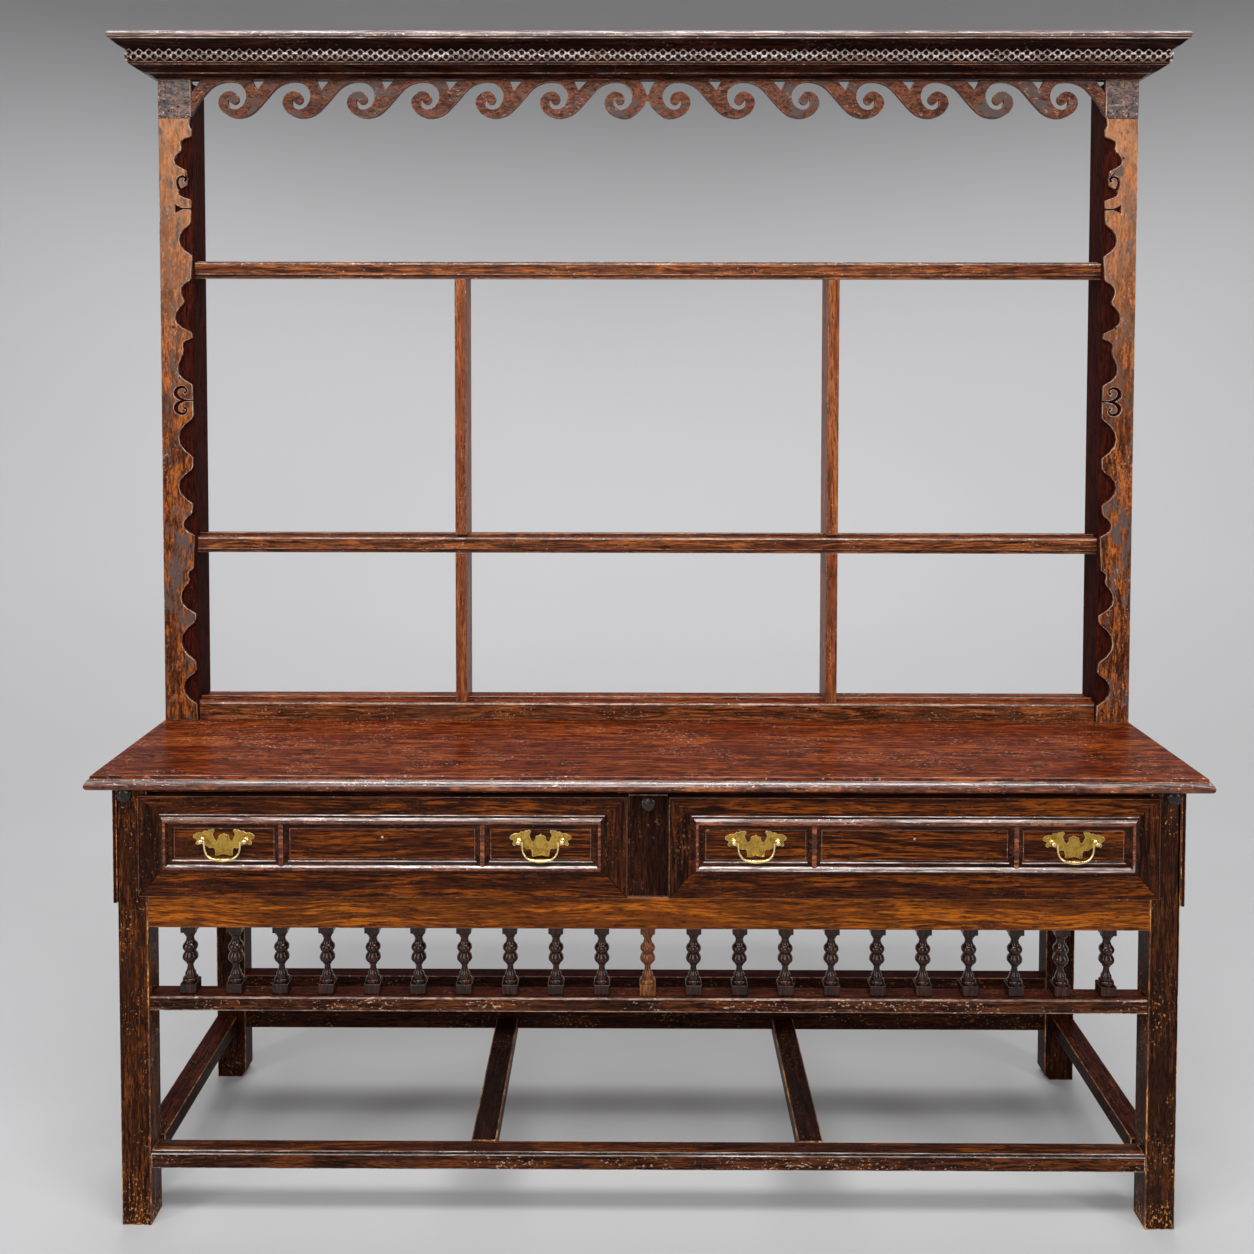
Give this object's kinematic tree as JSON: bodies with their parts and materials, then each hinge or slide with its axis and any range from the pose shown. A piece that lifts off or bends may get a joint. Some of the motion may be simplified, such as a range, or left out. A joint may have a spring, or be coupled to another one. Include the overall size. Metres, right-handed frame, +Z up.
{
  "type": "open rack dresser",
  "caption": "Oak dresser with lipped drawers, a turned spindle gallery and joined legs, under a shallow open plate rack with fretted pilasters and a scroll frieze.",
  "frame": {"origin": "middle of the plan, on the floor under the feet", "axes": "+X to the right seen from the front, +Y towards the back, +Z up"},
  "size_m": [2.046, 0.52, 2.138],
  "materials": {
    "top": "red-brown oak, waxed to a gloss, scratched",
    "leg": "dark patinated oak, worn orange at its edges",
    "rail": "orange-brown oak, satin",
    "spindle": "turned oak, waxed",
    "drawer": "dark oak, waxed to a gloss",
    "moulding": "dark oak moulding, rubbed bright on its ridges",
    "dry_oak": "unfinished oak, dull",
    "red_oak": "deep red-brown oak, satin",
    "fret": "grey and orange mottled oak, satin",
    "shelf": "brown oak, rubbed bright along its front arris",
    "cornice": "blackened oak, carved band, worn ridges",
    "brass": "polished brass, aged in its hollows"
  },
  "bodies": {
    "dresser": {"front_leg_left": "leg", "front_leg_right": "leg", "back_leg_left": "leg", "back_leg_right": "leg", "dresser_top": "top", "front_rail": "rail", "front_top_rail": "leg", "drawer_muntin": "leg", "end_board_left": "leg", "end_board_right": "leg", "back_board": "dry_oak", "drawer_runner_left": "dry_oak", "drawer_runner_right": "dry_oak", "drawer_runner_center": "dry_oak", "front_stretcher": "rail", "back_rail": "rail", "side_stretcher_left": "rail", "side_stretcher_right": "rail", "cross_stretcher_left": "rail", "cross_stretcher_right": "rail", "spindle_gallery": "spindle", "rack_post_left": "red_oak", "rack_post_right": "red_oak", "pilaster_backing_left": "red_oak", "pilaster_backing_right": "red_oak", "fret_pilaster_left": "fret", "fret_pilaster_right": "fret", "scroll_frieze": "fret", "rack_shelf_bottom": "shelf", "rack_shelf_middle": "shelf", "rack_shelf_top": "shelf", "rack_divider_left": "red_oak", "rack_divider_right": "red_oak", "cornice_front": "cornice", "cornice_return_left": "cornice", "cornice_return_right": "cornice", "dust_board": "dry_oak"},
    "drawer_left": {"drawer_left_front": "drawer", "drawer_left_side_inner": "dry_oak", "drawer_left_side_outer": "dry_oak", "drawer_left_back": "dry_oak", "drawer_left_bottom": "dry_oak", "drawer_left_moulding": "moulding", "drawer_left_handle_left_plate": "brass", "drawer_left_handle_right_plate": "brass"},
    "drawer_left_bail_left": {"drawer_left_handle_left_bail": "brass"},
    "drawer_left_bail_right": {"drawer_left_handle_right_bail": "brass"},
    "drawer_right": {"drawer_right_front": "drawer", "drawer_right_side_inner": "dry_oak", "drawer_right_side_outer": "dry_oak", "drawer_right_back": "dry_oak", "drawer_right_bottom": "dry_oak", "drawer_right_moulding": "moulding", "drawer_right_handle_left_plate": "brass", "drawer_right_handle_right_plate": "brass"},
    "drawer_right_bail_left": {"drawer_right_handle_left_bail": "brass"},
    "drawer_right_bail_right": {"drawer_right_handle_right_bail": "brass"}
  },
  "joints": [
    {"name": "drawer_left_slide", "type": "slide", "parent": "dresser", "child": "drawer_left", "axis": [0, -1, 0], "range_m": [0, 0.35]},
    {"name": "drawer_left_bail_left_hinge", "type": "hinge", "parent": "drawer_left", "child": "drawer_left_bail_left", "pos_m": [-0.73075, -0.2551, 0.69], "axis": [-1, 0, 0], "range_deg": [0, 100]},
    {"name": "drawer_left_bail_right_hinge", "type": "hinge", "parent": "drawer_left", "child": "drawer_left_bail_right", "pos_m": [-0.18475, -0.2551, 0.69], "axis": [-1, 0, 0], "range_deg": [0, 100]},
    {"name": "drawer_right_slide", "type": "slide", "parent": "dresser", "child": "drawer_right", "axis": [0, -1, 0], "range_m": [0, 0.35]},
    {"name": "drawer_right_bail_left_hinge", "type": "hinge", "parent": "drawer_right", "child": "drawer_right_bail_left", "pos_m": [0.18475, -0.2551, 0.69], "axis": [-1, 0, 0], "range_deg": [0, 100]},
    {"name": "drawer_right_bail_right_hinge", "type": "hinge", "parent": "drawer_right", "child": "drawer_right_bail_right", "pos_m": [0.73075, -0.2551, 0.69], "axis": [-1, 0, 0], "range_deg": [0, 100]}
  ]
}
